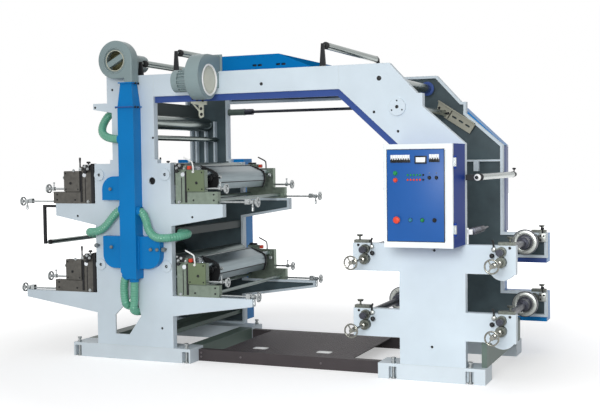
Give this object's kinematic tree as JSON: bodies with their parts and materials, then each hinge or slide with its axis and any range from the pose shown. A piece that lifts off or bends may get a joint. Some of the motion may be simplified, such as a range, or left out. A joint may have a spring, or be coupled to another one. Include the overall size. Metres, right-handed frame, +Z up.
{
  "type": "four colour printing machine",
  "caption": "Stack-type flexographic web press: printing tower with inking decks, bridge with hot-air drying, and a winding stand with control cabinet and walkway.",
  "frame": {"origin": "middle of the footprint, on the floor under the centre of the bounding box", "axes": "+X along the machine from printing tower to winding stand, +Y from operator side to drive side, +Z up"},
  "size_m": [4.221, 1.888, 2.589],
  "materials": {
    "frame_paint": "semi-gloss pale blue-grey machine enamel",
    "foot_paint": "semi-gloss pale blue-grey machine enamel",
    "tie_paint": "grey-green machine enamel",
    "cover_blue": "gloss azure sheet-metal enamel",
    "trim_blue": "gloss mid-blue enamel",
    "cabinet_blue": "satin indigo powder coat",
    "door_white": "satin white powder coat",
    "blower_grey": "hammered grey-green enamel",
    "hose_green": "spiral-ribbed green flexible duct",
    "walkway_dark": "dark worn floor paint",
    "deck_cast": "machined grey-green casting",
    "trough_steel": "brushed sheet steel",
    "plate_steel": "ground and plated cylinder",
    "drum_steel": "turned steel",
    "roller_steel": "polished idler tube",
    "wheel_chrome": "polished plating",
    "screw_steel": "bright screws and small hand wheels",
    "bracket_steel": "machined bearing brackets",
    "shaft_dark": "blackened steel shaft",
    "arm_black": "black satin paint",
    "dryer_dark": "heat-proof dark grey paint"
  },
  "bodies": {
    "machine": {"near_tower_frame": "frame_paint", "near_bridge_beam": "frame_paint", "near_stand_frame": "frame_paint", "far_tower_frame": "frame_paint", "far_bridge_beam": "frame_paint", "far_stand_frame": "frame_paint", "tower_feet": "foot_paint", "stand_feet": "foot_paint", "tower_ties": "tie_paint", "stand_tie": "tie_paint", "levelling_screws": "screw_steel", "walkway_rails": "walkway_dark", "walkway_plate": "walkway_dark", "tower_gear_cover": "cover_blue", "stand_gear_cover": "cover_blue", "impression_drums": "drum_steel", "deck_ties": "drum_steel", "winding_brackets": "bracket_steel", "cabinet_body": "cabinet_blue", "air_duct": "cover_blue", "duct_branches": "cover_blue", "duct_blower": "blower_grey", "hood_blower": "blower_grey", "drying_hood": "cover_blue", "roller_arms": "arm_black", "outer_guide_rollers": "roller_steel", "inner_guide_rollers": "roller_steel", "drive_shaft": "shaft_dark", "web_guard": "trim_blue", "web_guide_bar": "bracket_steel", "colour_dryers": "dryer_dark", "drip_tray": "tie_paint", "air_hoses": "hose_green", "deck_lower_left_carriage": "deck_cast", "deck_lower_left_ink_trough": "trough_steel", "deck_lower_left_screws": "screw_steel", "deck_lower_right_carriage": "deck_cast", "deck_lower_right_ink_trough": "trough_steel", "deck_lower_right_screws": "screw_steel", "deck_upper_left_carriage": "deck_cast", "deck_upper_left_ink_trough": "trough_steel", "deck_upper_left_screws": "screw_steel", "deck_upper_right_carriage": "deck_cast", "deck_upper_right_ink_trough": "trough_steel", "deck_upper_right_screws": "screw_steel"},
    "cabinet_door": {"cabinet_door": "door_white"},
    "deck_lower_left_plate_cylinder": {"deck_lower_left_plate_cylinder": "plate_steel"},
    "deck_lower_right_plate_cylinder": {"deck_lower_right_plate_cylinder": "plate_steel"},
    "deck_upper_left_plate_cylinder": {"deck_upper_left_plate_cylinder": "plate_steel"},
    "deck_upper_right_plate_cylinder": {"deck_upper_right_plate_cylinder": "plate_steel"},
    "winding_shaft_lower_left": {"winding_shaft_lower_left": "shaft_dark"},
    "hand_wheel_lower_left": {"hand_wheel_lower_left": "wheel_chrome"},
    "winding_shaft_lower_right": {"winding_shaft_lower_right": "shaft_dark"},
    "hand_wheel_lower_right": {"hand_wheel_lower_right": "wheel_chrome"},
    "winding_shaft_upper_left": {"winding_shaft_upper_left": "shaft_dark"},
    "hand_wheel_upper_left": {"hand_wheel_upper_left": "wheel_chrome"},
    "winding_shaft_upper_right": {"winding_shaft_upper_right": "shaft_dark"},
    "hand_wheel_upper_right": {"hand_wheel_upper_right": "wheel_chrome"}
  },
  "joints": [
    {"name": "cabinet_door_hinge", "type": "hinge", "parent": "machine", "child": "cabinet_door", "pos_m": [1.7635, -0.92, 1.3585], "axis": [0, 0, 1], "range_deg": [0, 110]},
    {"name": "deck_lower_left_plate_cylinder_spin", "type": "hinge", "parent": "machine", "child": "deck_lower_left_plate_cylinder", "pos_m": [-1.4575, 0.09, 0.776], "axis": [0, 1, 0], "continuous": true},
    {"name": "deck_lower_right_plate_cylinder_spin", "type": "hinge", "parent": "machine", "child": "deck_lower_right_plate_cylinder", "pos_m": [-0.5275, 0.09, 0.776], "axis": [0, 1, 0], "continuous": true},
    {"name": "deck_upper_left_plate_cylinder_spin", "type": "hinge", "parent": "machine", "child": "deck_upper_left_plate_cylinder", "pos_m": [-1.4575, 0.09, 1.514], "axis": [0, 1, 0], "continuous": true},
    {"name": "deck_upper_right_plate_cylinder_spin", "type": "hinge", "parent": "machine", "child": "deck_upper_right_plate_cylinder", "pos_m": [-0.5275, 0.09, 1.514], "axis": [0, 1, 0], "continuous": true},
    {"name": "winding_shaft_lower_left_spin", "type": "hinge", "parent": "machine", "child": "winding_shaft_lower_left", "pos_m": [1.0045, 0.09, 0.47], "axis": [0, 1, 0], "continuous": true},
    {"name": "hand_wheel_lower_left_turn", "type": "hinge", "parent": "machine", "child": "hand_wheel_lower_left", "pos_m": [1.0045, -0.594, 0.398], "axis": [0, 1, 0], "continuous": true},
    {"name": "winding_shaft_lower_right_spin", "type": "hinge", "parent": "machine", "child": "winding_shaft_lower_right", "pos_m": [2.0105, 0.09, 0.47], "axis": [0, 1, 0], "continuous": true},
    {"name": "hand_wheel_lower_right_turn", "type": "hinge", "parent": "machine", "child": "hand_wheel_lower_right", "pos_m": [2.0105, -0.594, 0.398], "axis": [0, 1, 0], "continuous": true},
    {"name": "winding_shaft_upper_left_spin", "type": "hinge", "parent": "machine", "child": "winding_shaft_upper_left", "pos_m": [1.0045, 0.09, 0.955], "axis": [0, 1, 0], "continuous": true},
    {"name": "hand_wheel_upper_left_turn", "type": "hinge", "parent": "machine", "child": "hand_wheel_upper_left", "pos_m": [1.0045, -0.594, 0.883], "axis": [0, 1, 0], "continuous": true},
    {"name": "winding_shaft_upper_right_spin", "type": "hinge", "parent": "machine", "child": "winding_shaft_upper_right", "pos_m": [2.0105, 0.09, 0.955], "axis": [0, 1, 0], "continuous": true},
    {"name": "hand_wheel_upper_right_turn", "type": "hinge", "parent": "machine", "child": "hand_wheel_upper_right", "pos_m": [2.0105, -0.594, 0.883], "axis": [0, 1, 0], "continuous": true}
  ]
}
